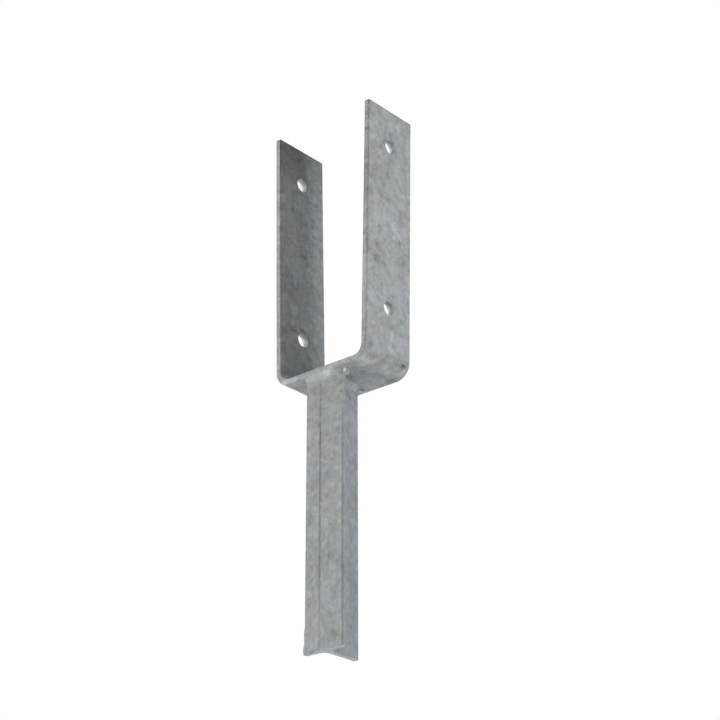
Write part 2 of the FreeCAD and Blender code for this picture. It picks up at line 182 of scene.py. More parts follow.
# %% Signals
class Signal:
    """A node's output socket that can be used in sums, as a number can."""

    def __init__(self, shader, socket):
        self.shader = shader
        self.socket = socket

    def math(self, operation, first, second):
        """Add a Math node; first and second may be signals or numbers."""
        return self.shader.node("ShaderNodeMath", {"operation": operation},
                                {0: first, 1: second})

    def __add__(self, other):
        return self.math("ADD", self, other)

    def __radd__(self, other):
        return self.math("ADD", other, self)

    def __sub__(self, other):
        return self.math("SUBTRACT", self, other)

    def __rsub__(self, other):
        return self.math("SUBTRACT", other, self)

    def __mul__(self, other):
        return self.math("MULTIPLY", self, other)

    def __rmul__(self, other):
        return self.math("MULTIPLY", other, self)

    def __abs__(self):
        return self.math("ABSOLUTE", self, 0.0)


# %% Node trees
class Shader:
    """The node tree of a material or of the world."""

    def __init__(self, owner):
        owner.use_nodes = True
        self.owner = owner
        self.tree = owner.node_tree

    def feed(self, socket, value):
        """Link a signal to a socket, or write a plain value on it."""
        if isinstance(value, Signal):
            self.tree.links.new(value.socket, socket)
        else:
            socket.default_value = value

    def node(self, kind, settings, sockets, output=0):
        """Add a node, set its settings, then feed its sockets."""
        made = self.tree.nodes.new(kind)
        for name, value in settings.items():
            setattr(made, name, value)
        for key, value in sockets.items():
            self.feed(made.inputs[key], value)
        return Signal(self, made.outputs[output])


# %% Fields that the coats are made of
def place_in_mm(shader):
    """Object coordinates in millimetres, as one vector."""
    place = shader.node("ShaderNodeTexCoord", {}, {}, output="Object")
    return shader.node("ShaderNodeMapping", {}, {"Vector": place, "Scale": (1 / MM,) * 3})


def split(shader, vector):
    """The three parts of a vector, as signals."""
    return [shader.node("ShaderNodeSeparateXYZ", {}, {0: vector}, output=axis)
            for axis in "XYZ"]


def stretch(shader, vector, factors):
    """A vector with each of its parts times its own factor."""
    return shader.node("ShaderNodeVectorMath", {"operation": "MULTIPLY"},
                       {0: vector, 1: factors})


def blotches(shader, place, across, detail, seed):
    """Cloudy noise about zero; its blotches are about `across` millimetres wide."""
    cloud = shader.node("ShaderNodeTexNoise", {"noise_dimensions": "4D"},
                        {"Vector": place, "W": seed, "Scale": 1 / across, "Detail": detail})
    return cloud - 0.5


def step(shader, signal, low, high):
    """0 below `low`, 1 above `high`, and a smooth S between; low may be the larger."""
    return shader.node("ShaderNodeMapRange", {"interpolation_type": "SMOOTHSTEP"},
                       {"Value": signal, "From Min": low, "From Max": high})


def larger(first, second):
    return first.math("MAXIMUM", first, second)


def smaller(first, second):
    return first.math("MINIMUM", first, second)


def root(signal):
    return signal.math("SQRT", signal, 0.0)


def ray_is(shader, kind):
    """1 for rays of a kind, such as Camera, and 0 for all others."""
    return shader.node("ShaderNodeLightPath", {}, {}, output=f"Is {kind} Ray")


def mix(shader, factor, first, second):
    """One colour faded into another."""
    return shader.node("ShaderNodeMix", {"data_type": "RGBA"},
                       {0: factor, 6: first, 7: second}, output=2)


SPOT_CORE = 0.35


def spot(shader, place, centre, reach):
    """1 in the core of an egg-shaped spot and 0 outside it; reach is its half size."""
    offset = shader.node("ShaderNodeVectorMath", {"operation": "SUBTRACT"},
                         {0: place, 1: centre})
    share = stretch(shader, offset, tuple(1 / r for r in reach))
    distance = shader.node("ShaderNodeVectorMath", {"operation": "LENGTH"},
                           {0: share}, output="Value")
    return step(shader, distance, 1.0, SPOT_CORE)


print("shader helpers ready")

# %% [markdown]
# ## The zinc coat
# Hot-dip zinc that has dulled is a pale grey of low contrast.  Seen close, it is a
# sum of scales: broad drifts of tone, blotches a few millimetres wide, a fine grain,
# faint runs that follow the way the steel was lifted out of the bath, and single
# pits, lumps and scrapes.  A scanned picture of zinc could be wrapped round the part,
# but noise in object coordinates needs no seams and stays sharp at any distance.
#
# `zinc` builds what all three coats share.  Each coat gives it a base tone, a strength
# for all the noise together, a shade factor of its own, where it is blue, and its own
# marks.  A mark is a name, a place, its half size along X, Y and Z, and how much it
# lightens (above zero) or darkens the coat.  The shade factors, most of the blue and a few
# marks paint light and shade into the coat; those marks are named for it.

# %% One zinc coat
COOL = (0.347, 0.351, 0.366, 1.0)
WARM = (0.350, 0.357, 0.348, 1.0)
VIOLET = (0.352, 0.346, 0.368, 1.0)
BLUE_SHADE = (0.318, 0.345, 0.376, 1.0)
METALLIC = 0.06
SPECULAR = 0.35
# How wide the blotches of each field are, in millimetres.
DRIFT, PATCHES, MOTTLE, GRAIN, RUNS, HUE, VIOLET_HUE = 38.0, 7.5, 3.2, 1.1, 3.5, 20.0, 9.0
# Runs are this much squeezed along Z before the noise is read, which draws them out.
RUN_SQUEEZE = (1.0, 1.0, 0.12)
# How far places are pushed about, in millimetres, and how fine that push is.
PUSH, PUSH_SCALE = 3.0, 0.45


def zinc(name, marks, shade, blue, base, strength, relief=1.0):
    """A dull galvanised coat.

    tone = (base + strength * noise + marks) * shade, where the noise is a weighted sum
    of drift, patches, mottle, grain and runs, each about zero.  All but drift and grain
    are read at places that another noise has pushed about, so their outlines waver.
    The height comes from the same fields and is a tenth of a millimetre or so, so light
    patches stand proud.
    """
    shader = Shader(bpy.data.materials.new(name))
    surface = shader.tree.nodes["Principled BSDF"]
    place = place_in_mm(shader)
    push = shader.node("ShaderNodeTexNoise", {},
                       {"Vector": place, "Scale": PUSH_SCALE, "Detail": 2.0}, output=1)
    pushed = shader.node("ShaderNodeVectorMath", {"operation": "MULTIPLY_ADD"},
                         {0: push, 1: (PUSH,) * 3, 2: place})
    wavy = shader.node("ShaderNodeVectorMath", {"operation": "SUBTRACT"},
                       {0: pushed, 1: (PUSH / 2,) * 3})

    drift = blotches(shader, place, DRIFT, 1.0, seed=2.0)
    patches = blotches(shader, wavy, PATCHES, 2.0, seed=5.0)
    mottle = blotches(shader, wavy, MOTTLE, 2.0, seed=9.0)
    grain = blotches(shader, place, GRAIN, 1.0, seed=13.0)
    runs = blotches(shader, stretch(shader, wavy, RUN_SQUEEZE), RUNS, 2.0, seed=17.0)

    noise = 0.16 * drift + 0.48 * patches + 0.34 * mottle + 0.14 * grain + 0.12 * runs
    tone = base + strength * noise
    for _, centre, reach, gain in marks:
        tone = tone + gain * spot(shader, wavy, centre, reach)
    tone = tone * shade(shader, place)

    hue = step(shader, blotches(shader, place, HUE, 2.0, seed=23.0), -0.16, 0.16)
    colour = mix(shader, hue, COOL, WARM)
    violet = step(shader, blotches(shader, place, VIOLET_HUE, 2.0, seed=27.0), 0.04, 0.22)
    colour = mix(shader, violet, colour, VIOLET)
    colour = mix(shader, blue(shader, place), colour, BLUE_SHADE)
    shader.feed(surface.inputs["Base Color"],
                shader.node("ShaderNodeVectorMath", {"operation": "SCALE"},
                            {0: colour, "Scale": tone}))

    roughness = 0.52 - 0.35 * mottle + 0.25 * grain
    shader.feed(surface.inputs["Roughness"], roughness)
    shader.feed(surface.inputs["Metallic"], METALLIC)
    shader.feed(surface.inputs["Specular IOR Level"], SPECULAR)

    height = 0.16 * patches + 0.14 * mottle + 0.05 * grain + 0.05 * runs
    shader.feed(surface.inputs["Normal"],
                shader.node("ShaderNodeBump", {},
                            {"Height": relief * height, "Strength": 1.0, "Distance": MM}))
    return shader.owner


def coat(piece, material):
    """Give a piece one material and nothing else."""
    piece.data.materials.clear()
    piece.data.materials.append(material)


# %% [markdown]
# ## The bar's coat
# The bracket's coat follows its bends, so it needs to know how deep a point lies below
# the bar's outer face.  Seen from the front, the outer face is a box with rounded
# lower corners.  The distance to such a box has a known formula: take how far the point
# is past the box's sides when the sides are moved in by the corner radius, use the
# hypotenuse of the two where both are positive, and give the radius back.
#
# Light and shade are also painted into the coat.  It is painted darker on the inner faces,
# most of all near their top, because the lamps alone leave them too pale, and lighter at
# their back edge.  It is painted a little darker, in patches, on the rolled edges, and on
# the cut ends, the rims of the holes, the bends and the cheeks' front edges.  It is
# painted lighter on the walls of the holes.

# %% Depth below the bar's outer face
def bar_depth(shader, place):
    """0 on the bracket's outer faces and one bar thickness on its inner faces."""
    x, y, z = split(shader, place)
    past_side = abs(x) - cheek_x(z) + OUTER_BEND
    past_web = (WEB + OUTER_BEND) - z
    side, down = larger(past_side, 0.0), larger(past_web, 0.0)
    round_corner = root(side * side + down * down)
    inside = smaller(larger(past_side, past_web), 0.0)
    return OUTER_BEND - round_corner - inside


def near_holes(shader, y, z, lift, far, near):
    """1 up to `near` past a bolt hole's wall, 0 beyond `far`; `lift` moves it upwards."""
    total = 0.0
    for level in (LOWER_BOLT, UPPER_BOLT):
        rise = z - (level + lift)
        distance = root(y * y + rise * rise)
        total = total + step(shader, distance, BOLT_RADIUS + far, BOLT_RADIUS + near)
    return total


def painted_hole_light(shader, x, y, z, depth):
    """Painted light on the walls of the bolt holes, brightest at the rim the lamps reach."""
    wall = near_holes(shader, y, z, lift=0.0, far=0.45, near=0.1)
    to_left = step(shader, x, 0.0, -1.0)
    outer_rim = step(shader, depth, 2.6, 0.8)
    inner_rim = step(shader, depth, BAR_THICKNESS - 2.4, BAR_THICKNESS - 1.4)
    # Outer rim on the left cheek, inner rim on the right cheek: painted light.
    return wall * (0.1 + (0.1 + 0.75 * outer_rim) * to_left + 0.85 * inner_rim * (1.0 - to_left))


def bar_shade(shader, place):
    """Painted shade on rolled edges, cut ends, rims, bends, front edges and inner faces; painted
    light in the holes.
    """
    x, y, z = split(shader, place)
    depth = bar_depth(shader, place)
    to_face = smaller(depth, BAR_THICKNESS - depth)
    to_side = HALF_BAR - abs(y)
    patchy = step(shader, blotches(shader, place, 24.0, 1.0, seed=31.0), -0.25, 0.12)
    arris = step(shader, to_face, 1.0, 0.1) * step(shader, to_side, 1.6, 0.3)
    arris = arris * step(shader, z, WEB + OUTER_BEND, SEAT + 60.0)
    cut_end = step(shader, z, fork_high.z - 2.4, fork_high.z - 0.4)
    inner = step(shader, depth, BAR_THICKNESS - 1.0, BAR_THICKNESS - 0.3)
    rims = near_holes(shader, y, z, lift=1.5, far=3.0, near=0.2)
    front = step(shader, y, 1.0 - HALF_BAR, 0.3 - HALF_BAR) * step(shader, z, SEAT, SEAT + 20.0)
    painted_back_light = inner * step(shader, y, 2.0, 20.0)
    painted_top_shade = inner * step(shader, z, SEAT + 158.0, SEAT + 198.0)
    painted_top_shade = painted_top_shade * (1.0 - 0.5 * step(shader, y, -2.0, 14.0))
    bend = step(shader, z, WEB + OUTER_BEND + 4.0, WEB + OUTER_BEND - 6.0)
    bend = bend * step(shader, z, WEB + 0.4, WEB + 3.0)

    # Painted shade: rolled edges in patches, cut ends, rims, front edges and bends.
    edges = 0.17 * arris * (0.35 + 0.65 * patchy) + 0.12 * cut_end + 0.10 * rims
    edges = edges + 0.09 * front + 0.12 * bend
    # Painted shade on the inner faces, most near their top, and painted light at their back edge.
    inside = 0.27 * inner + 0.39 * painted_top_shade - 0.12 * painted_back_light
    return 1.0 - edges - inside + painted_hole_light(shader, x, y, z, depth)


def bar_blue(shader, place):
    """A faint blue strip behind the right cheek's holes, and painted cool light at the left cheek's
    back.
    """
    x, y, _ = split(shader, place)
    strip = step(shader, abs(y - 16.5), 3.4, 1.0) * step(shader, x, 36.0, 41.0)
    painted_cool_light_left = step(shader, y, 12.0, 19.0) * step(shader, x, -36.0, -38.0)
    return 0.55 * strip + 0.5 * painted_cool_light_left


# %% Marks on the bar
def front_edge(inward, up):
    """A place on the right cheek's front edge, `inward` from its outer face."""
    return (cheek_x(SEAT + up) - inward, -HALF_BAR, SEAT + up)


bar_marks = [
    ("scrape above the upper hole", right_cheek(-10.0, 181.0), (3.0, 1.8, 6.0), 0.12),
    ("dull patch over the scrape", right_cheek(-12.0, 191.0), (3.0, 3.4, 3.4), -0.12),
    ("dull patch behind the upper hole", right_cheek(5.6, 176.5), (3.0, 2.2, 2.2), -0.13),
    ("bright chips at the back edge", right_cheek(21.5, 171.5), (3.0, 1.6, 4.6), 0.14),
    ("dull pair below the upper hole", right_cheek(-2.1, 154.6), (3.0, 1.8, 2.6), -0.10),
    ("pale cloud", right_cheek(-3.0, 126.2), (3.0, 6.0, 4.2), 0.09),
    ("pale cloud lower", right_cheek(3.6, 110.0), (3.0, 4.4, 5.0), 0.10),
    ("pale run near the front", right_cheek(-21.5, 104.0), (3.0, 1.8, 8.0), 0.07),
    ("dark run upper", right_cheek(-12.0, 102.5), (3.0, 2.4, 8.5), -0.19),
    ("dark run middle", right_cheek(-14.2, 90.0), (3.0, 3.0, 7.0), -0.18),
    ("dark run lower", right_cheek(-16.0, 76.0), (3.0, 2.6, 6.0), -0.16),
    ("bright drop", right_cheek(5.5, 101.6), (3.0, 2.0, 2.7), 0.32),
    ("pit by the drop", right_cheek(11.9, 100.3), (3.0, 1.7, 3.2), -0.32),
    ("bright chip by the pit", right_cheek(16.0, 98.2), (3.0, 1.5, 2.4), 0.14),
    ("dark stain at the back edge", right_cheek(21.6, 52.0), (3.0, 2.0, 6.0), -0.16),
    ("tail of the stain", right_cheek(19.2, 40.0), (3.0, 1.8, 6.0), -0.16),
    ("pale band beside the stain", right_cheek(14.5, 46.0), (3.0, 1.6, 9.0), 0.08),
    ("cool patch over the bend", right_cheek(-21.0, 6.0), (3.5, 5.0, 4.4), -0.12),
    ("dull patch on the bend", right_cheek(1.9, 4.4), (3.5, 4.2, 3.0), -0.10),
    ("deep pit on the bend", right_cheek(18.6, 2.1), (3.5, 3.9, 2.0), -0.46),
    ("dull halo of the pit", right_cheek(16.8, 1.0), (4.0, 5.5, 5.5), -0.18),
    ("nick in the front edge", front_edge(2.6, 182.7), (2.8, 2.2, 1.6), -0.38),
    ("dull front edge, upper half", front_edge(2.5, 160.0), (5.0, 1.3, 58.0), -0.13),
    ("bright front edge, lower half", front_edge(2.4, 66.0), (3.6, 1.2, 44.0), 0.22),
    ("dark foremost corner", front_edge(0.0, 206.0), (2.6, 2.6, 3.6), -0.30),
    ("pale roll of the right bend", (36.0, -24.0, WEB + 1.4), (6.0, 6.0, 4.0), 0.18),
    ("pale roll, middle", (37.8, -17.0, WEB + 1.6), (4.0, 6.0, 3.6), 0.20),
    ("pale roll further back", (39.6, -10.5, WEB + 2.0), (4.0, 4.0, 3.6), 0.26),
    # A painted highlight on the left bend.
    ("bright left bend", (-34.5, -HALF_BAR, WEB + 2.2), (7.0, 2.6, 3.2), 0.42),
    ("bright web edge at the left", (-26.0, -HALF_BAR, WEB + 1.6), (7.0, 1.6, 2.6), 0.16),
    ("pale web edge", (0.0, -HALF_BAR, WEB + 2.6), (44.0, 1.4, 3.8), 0.10),
    ("bright web edge at the right", (31.5, -HALF_BAR, SEAT - 1.0), (4.0, 1.6, 2.2), 0.20),
    ("dull band under the web", (23.0, -6.0, WEB), (8.0, 7.0, 3.0), -0.16),
    ("dull band, middle", (27.0, 6.0, WEB), (5.0, 10.0, 3.0), -0.16),
    ("dull band, back", (30.0, 19.0, WEB), (6.0, 7.0, 3.0), -0.22),
    ("pale patch under the web", (30.6, -14.1, WEB), (5.0, 4.0, 3.0), 0.14),
    ("pale patch by the bend", (38.5, 3.4, WEB + 2.0), (4.0, 6.0, 4.0), 0.12),
    ("pale back edge of the web", (10.9, 20.4, WEB), (6.0, 4.0, 3.0), 0.14),
    ("pit at the stem's end", (2.9, 18.3, WEB), (2.6, 3.3, 2.0), -0.66),
    # Painted shade in the corner behind the flange.
    ("soot in the corner behind the flange", (12.0, -7.0, WEB), (5.5, 6.0, 2.0), -0.24),
    ("dark spot inside the left cheek", left_cheek(-22.6, 88.8), (3.0, 2.2, 2.4), -0.36),
    ("its twin", left_cheek(-18.3, 89.6), (3.0, 1.7, 1.8), -0.26),
    ("dull smear inside", left_cheek(-7.8, 82.6), (3.0, 3.2, 2.2), -0.20),
    ("pale cloud inside", left_cheek(-9.1, 64.0), (3.0, 7.0, 7.0), 0.22),
    ("dark smear over the lower hole", left_cheek(-10.5, 46.6), (3.0, 6.6, 3.0), -0.26),
    # Painted shade on the upper wall of the lower hole.
    ("dark crescent over the lower hole", left_cheek(0.0, 49.6), (3.0, 6.2, 3.0), -0.46),
    ("dark run inside", left_cheek(1.5, 113.4), (3.0, 6.5, 2.6), -0.22),
    ("dark patch inside", left_cheek(-11.9, 150.8), (3.0, 3.4, 3.6), -0.20),
    ("pale patch inside", left_cheek(2.4, 137.0), (3.0, 3.6, 4.4), 0.18),
    ("pale patch inside, top", left_cheek(7.6, 190.4), (3.0, 3.6, 7.0), 0.20),
    ("dark patch inside, top", left_cheek(-4.7, 197.6), (3.0, 3.4, 3.4), -0.26),
    ("dark patch under the upper hole", left_cheek(5.0, 168.6), (3.0, 4.4, 3.0), -0.20),
    ("nick in the left cut end", left_cheek(-16.3, 207.6), (3.0, 1.8, 1.8), -0.40),
]
bar_coat = zinc("galvanised_bar", bar_marks, bar_shade, bar_blue, base=1.03, strength=1.9)
coat(frame["nodes"]["u_bracket"], bar_coat)
print(len(bar_marks), "marks on the bar")

# %% [markdown]
# ## The tee's coat
# The tee is hot-rolled stock.  The rolls left a seam down its flange.  Zinc bridged
# that seam in places, so it shows as a line that comes and goes; its darkness is painted
# shade, as in a groove.  The right arris is painted darker in patches, for shade, with a
# painted highlight near the web, and the left arris gets a painted highlight.  The cut
# foot is painted light.  The stem stands in the flange's shade and looks cooler, and that
# cool tint is painted shade.

# %% The tee
def tee_shade(shader, place):
    """Painted shade on the seam and the right arris, painted highlights on both arrises, painted
    light on the foot.
    """
    x, y, z = split(shader, place)
    along = stretch(shader, place, (0.0, 0.0, 1.0))
    on_face = step(shader, y, FLANGE + 1.2, FLANGE + 0.3)
    seam = step(shader, abs(x - SEAM_X), 0.8, 0.4) * on_face
    streaks = blotches(shader, along, 14.0, 2.0, seed=41.0)
    painted_seam_shade = 0.05 + 0.20 * step(shader, streaks, 0.15, -0.25)
    near_foot = step(shader, z, 58.0, 22.0)
    sides = step(shader, abs(x - SEAM_X), 2.0, 0.8) * on_face
    patchy_arris_shade = step(shader, blotches(shader, along, 15.0, 2.0, seed=47.0), -0.18, 0.14)
    patchy_arris_shade = (0.25 + 0.75 * patchy_arris_shade) * step(shader, z, WEB - 22.0, WEB - 52.0)
    arris = step(shader, x, HALF_FLANGE - 2.1, HALF_FLANGE - 0.4)
    arris = arris * step(shader, y, FLANGE + 2.8, FLANGE + 0.9)
    painted_left_highlight = step(shader, x, 1.4 - HALF_FLANGE, 0.3 - HALF_FLANGE)
    behind = step(shader, y, FLANGE + 1.0, FLANGE + 4.0)
    painted_foot_light = step(shader, z, 0.25, 0.05) * (0.35 + 0.15 * behind)
    painted_arris_highlight = 0.10 * step(shader, z, WEB - 45.0, WEB - 18.0)

    # The seam's darkness is painted shade, lighter near the foot.
    seam_line = (painted_seam_shade - 0.10 * near_foot) * seam + 0.12 * (1.0 - near_foot) * sides
    edges = (painted_arris_highlight - 0.28 * patchy_arris_shade) * arris + 0.08 * painted_left_highlight
    return 1.0 - seam_line + edges + painted_foot_light


def tee_blue(shader, place):
    """Painted cool shade on the stem and the flange's right side."""
    x, y, _ = split(shader, place)
    return 0.45 * step(shader, y, FLANGE + 1.2, FLANGE + 3.4) * step(shader, x, 0.0, 1.0)


tee_marks = [
    ("pit under the weld", on_flange(15.8, 17.3), (1.7, 3.0, 1.3), -0.48),
    ("dull spot left", on_flange(-8.1, 22.3), (1.3, 3.0, 2.2), -0.18),
    ("zinc lump", on_flange(1.5, 24.8), (2.0, 3.0, 1.6), 0.16),
    ("shade of the lump", on_flange(-0.2, 27.0), (2.6, 3.0, 1.4), -0.12),
    ("brown speck", on_flange(13.3, 45.4), (1.9, 3.0, 2.2), -0.13),
    ("pale speck", on_flange(12.1, 60.2), (1.2, 3.0, 2.2), 0.12),
    ("burr by the seam", on_flange(-5.6, 38.5), (1.5, 3.0, 2.0), -0.22),
    ("stain by the seam", on_flange(-4.6, 52.0), (1.3, 3.0, 7.0), -0.14),
    ("crystal cluster", on_flange(7.6, 64.4), (2.6, 3.0, 1.8), 0.14),
    ("crystal cluster low", on_flange(1.6, 68.4), (2.2, 3.0, 1.6), 0.13),
    ("pin hole in the cluster", on_flange(0.8, 65.6), (1.3, 3.0, 1.2), -0.20),
    ("crystals at the right", on_flange(11.2, 74.7), (1.6, 3.0, 3.6), 0.12),
    ("cool zone", on_flange(-2.0, 82.0), (15.0, 3.0, 14.0), -0.04),
    ("pale left edge patch", on_flange(-14.5, 58.8), (2.0, 3.0, 3.0), 0.12),
    ("pair of pits", on_flange(-10.8, 47.4), (1.3, 3.0, 1.6), -0.14),
    ("dull dot", on_flange(6.7, 107.4), (1.6, 3.0, 2.0), -0.10),
    ("pale dot", on_flange(-7.4, 106.3), (1.8, 3.0, 1.4), 0.12),
    ("pale blot", on_flange(4.0, 122.4), (2.4, 3.0, 2.6), 0.10),
    ("dark dimple", on_flange(5.0, 138.8), (2.2, 3.0, 2.4), -0.18),
    ("long dark oval", on_flange(-9.4, 163.5), (2.1, 3.0, 6.8), -0.20),
    ("dull belt", on_flange(3.0, 174.5), (9.0, 3.0, 3.4), -0.08),
    # A painted highlight along the right arris.
    ("pale line by the right arris", on_flange(14.6, 128.0), (1.2, 3.0, 48.0), 0.09),
    ("pale run at the foot", on_flange(-1.1, 195.5), (1.4, 3.0, 9.5), 0.17),
    ("dark scab at the foot", on_flange(9.5, 196.0), (5.6, 3.0, 5.4), -0.17),
    ("dark scab by the arris", on_flange(14.5, 191.0), (2.2, 3.0, 6.5), -0.17),
    ("pale crust at the foot's left", on_flange(-13.0, 200.5), (6.5, 4.0, 6.0), 0.14),
    ("shade under the stem's weld", on_stem(1.5, 9.5), (2.5, 8.0, 8.0), -0.24),
    # Painted shade in the corner at the stem's foot.
    ("rust stain at the stem's foot", on_stem(-9.0, 204.5), (2.5, 5.0, 3.5), -0.24),
    ("shade low on the stem", on_stem(8.7, 176.0), (2.5, 6.0, 24.0), -0.07),
    ("pale vein on the stem", on_stem(-2.0, 60.0), (2.5, 2.0, 30.0), 0.06),
]
tee_coat = zinc("galvanised_tee", tee_marks, tee_shade, tee_blue,
                base=0.885, strength=1.35, relief=0.5)
coat(frame["nodes"]["tee_leg"], tee_coat)
print(len(tee_marks), "marks on the tee")

# %% [markdown]
# ## The weld's coat
# Zinc wets a weld well, so the beads carry a slightly paler and more even coat than the
# plain steel.

# %% The weld metal
def no_shade(shader, place):
    """The weld's coat has the same shade everywhere."""
    return 1.0


def weld_blue(shader, place):
    """Painted cool light on the beads behind the flange, as on the stem."""
    _, y, _ = split(shader, place)
    return 0.15 * step(shader, y, FLANGE + 1.0, FLANGE + 4.0)


weld_marks = [
    ("bright middle of the front bead", (6.0, FLANGE - 2.6, WEB - 0.4), (5.5, 4.0, 4.0), 0.34),
    ("bright left end", (-14.0, FLANGE - 2.0, WEB - 2.6), (3.0, 4.0, 3.0), 0.08),
    # A painted highlight and painted shade on the drop beside the front bead.
    ("bright top of the drop", (19.2, FLANGE - 0.4, WEB - 1.2), (1.9, 1.9, 1.9), 1.30),
    ("hollow of the drop", (20.3, FLANGE + 1.1, WEB - 3.3), (1.3, 1.5, 1.3), -0.50),
    ("pale front bead", (0.0, FLANGE - 2.5, WEB - 1.0), (21.0, 4.0, 6.0), 0.40),
    ("dull right end", (15.0, FLANGE - 2.5, WEB - 1.5), (3.5, 4.0, 5.0), -0.16),
    ("dull stem bead", (5.0, 2.0, WEB - 2.5), (5.0, 20.0, 5.0), -0.10),
    ("dull foot of the stem bead", (2.6, 4.0, WEB - 5.0), (3.0, 10.0, 2.4), -0.22),
]
weld_coat = zinc("galvanised_weld", weld_marks, no_shade, weld_blue, base=1.12, strength=1.2)
print(len(weld_marks), "marks on the welds")

# %% [markdown]
# ## Weld beads
# A fillet weld is metal melted into the corner of two plates.  It cools in small
# crescents, one for each beat of the welder's hand.  The bead could be a bevelled curve,
# but a surface of two parameters lets the ripples lean and the ends round off.
# One parameter runs along the bead, the other goes round its section.

# %% Mesh helpers
def grid_faces(rows, columns):
    """Quads of a tube: neighbouring rows joined, the last column joined to the first."""
    row, column = np.meshgrid(np.arange(rows - 1), np.arange(columns), indexing="ij")
    after = (column + 1) % columns
    corners = [row * columns + column, row * columns + after,
               (row + 1) * columns + after, (row + 1) * columns + column]
    return np.stack(corners, axis=-1).reshape(-1, 4)


def closed_tube(name, rings, material):
    """A mesh piece from rings of points, in millimetres, with both ends capped."""
    rows, columns, _ = rings.shape
    faces = grid_faces(rows, columns).tolist()
    faces.append(list(range(columns - 1, -1, -1)))
    faces.append(list(range((rows - 1) * columns, rows * columns)))
    mesh = bpy.data.meshes.new(name)
    mesh.from_pydata((rings.reshape(-1, 3) * MM).tolist(), [], faces)
    mesh.update()
    face_out(mesh)
    mesh.shade_smooth()
    piece = bpy.data.objects.new(name, mesh)
    bpy.context.scene.collection.objects.link(piece)
    coat(piece, material)
    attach(piece, "root")
    print(name, "has", len(mesh.polygons), "faces")
    return piece


def face_out(mesh):
    """Flip a closed mesh whose volume, a sum of corner triple products, is negative."""
    mesh.calc_loop_triangles()
    corners = np.empty(len(mesh.loop_triangles) * 3, dtype=np.int32)
    mesh.loop_triangles.foreach_get("vertices", corners)
    points = np.empty(len(mesh.vertices) * 3)
    mesh.vertices.foreach_get("co", points)
    a, b, c = points.reshape(-1, 3)[corners.reshape(-1, 3)].transpose(1, 0, 2)
    if np.einsum("ij,ij->i", a, np.cross(b, c)).sum() < 0:
        mesh.flip_normals()


# %% Two sections of a bead
TOE_SWEEP = 1.35


def corner_section(t):
    """Shares (1 - t)^k and t^k of the two legs; k over 1 lets both toes run out flat."""
    return (1 - t) ** TOE_SWEEP, t ** TOE_SWEEP


def flush_section(t):
    """Shares (1 + cos(pi t)) / 2 and t: an S that starts flush with the web's front edge."""
    return (1 + np.cos(np.pi * t)) / 2, t


# %% A rippled bead
RIPPLE_PITCH, RIPPLE_HEIGHT, RIPPLE_BOW = 1.9, 0.05, 2.2
BEAD_ROWS, BEAD_COLUMNS, TUCK_COLUMNS = 161, 33, 4
SHORT_OF_POINT = 0.99    # the last rows stop just before the ends close to a point
TUCK = 0.35              # how far the hidden back of the bead reaches into the steel


def weld_bead(name, start, end, out, down, section, crown, end_sharpness):
    """A fillet bead along the straight corner from start to end.

    out and down are vectors from the corner to the bead's two toes.  With t from 0 to 1
    across the section, the face is out and down in the section's shares, plus
    crown * sin(pi t)^2 along the face's normal.  Along the bead the section is scaled by
    a superellipse, (1 - |s|^n)^(1/2), which rounds the ends, and the face carries
    crescents: a sine of the way along, whose phase bends back by t (1 - t) so that the
    middle leads.  A slow sway of its height keeps the lower toe from being straight.
    """
    start, end, out, down = (np.array(v, dtype=float) for v in (start, end, out, down))
    length = np.linalg.norm(end - start)
    along = (end - start) / length
    s = np.sin(np.linspace(-0.5, 0.5, BEAD_ROWS) * np.pi * SHORT_OF_POINT)
    fullness = np.sqrt(1 - np.abs(s) ** end_sharpness)[:, None, None]
    way = ((s + 1) / 2 * length)[:, None, None]

    t = np.linspace(0, 1, BEAD_COLUMNS)[None, :, None]
    out_way, down_way = out / np.linalg.norm(out), down / np.linalg.norm(down)
    normal = out_way + down_way
    normal /= np.linalg.norm(normal)
    phase = 2 * np.pi * (way + RIPPLE_BOW * t * (1 - t)) / RIPPLE_PITCH
    ripple = RIPPLE_HEIGHT * np.sin(phase) * np.sin(np.pi * t)
    sway = 1 + 0.03 * np.sin(way * 0.55 + 1.0) + 0.02 * np.sin(way * 1.3)
    out_share, down_share = section(t)
    face = out * out_share + down * down_share * sway
    face = (face + normal * (crown * np.sin(np.pi * t) ** 2 + ripple)) * fullness

    tuck = np.linspace(0, 1, TUCK_COLUMNS + 2)[1:-1][None, :, None]
    behind = (TUCK - 2 * TUCK * tuck) * (down_way - out_way) - TUCK * normal
    behind = np.broadcast_to(behind, (BEAD_ROWS, TUCK_COLUMNS, 3))
    rings = np.concatenate([face, behind], axis=1) + start + along * way
    piece = closed_tube(name, rings, weld_coat)
    return piece


# The front bead's upper toe lies on the rounded front edge of the web.
front_low, front_high = (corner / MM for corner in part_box("weld_flange"))
front_bead = weld_bead(
    "weld_bead_front",
    start=(front_low.x - 0.3, FLANGE, WEB), end=(front_high.x + 0.2, FLANGE, WEB),
    out=(0, -4.97, 1.25), down=(0, 0, front_low.z - WEB - 1.4),
    section=flush_section, crown=0.35, end_sharpness=12)
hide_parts("weld_flange")

for side, node in ((1, "weld_stem_right"), (-1, "weld_stem_left")):
    low, high = (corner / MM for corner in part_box(node))
    stem_x = side * TEE_THICKNESS / 2
    leg_size = high.z - low.z
    stem_bead = weld_bead(
        node.replace("weld", "weld_bead"),
        start=(stem_x, low.y - 0.8, WEB), end=(stem_x, high.y + 0.6, WEB),
        out=(side * leg_size, 0, 0), down=(0, 0, -leg_size),
        section=corner_section, crown=0.7, end_sharpness=5)
    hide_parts(node)

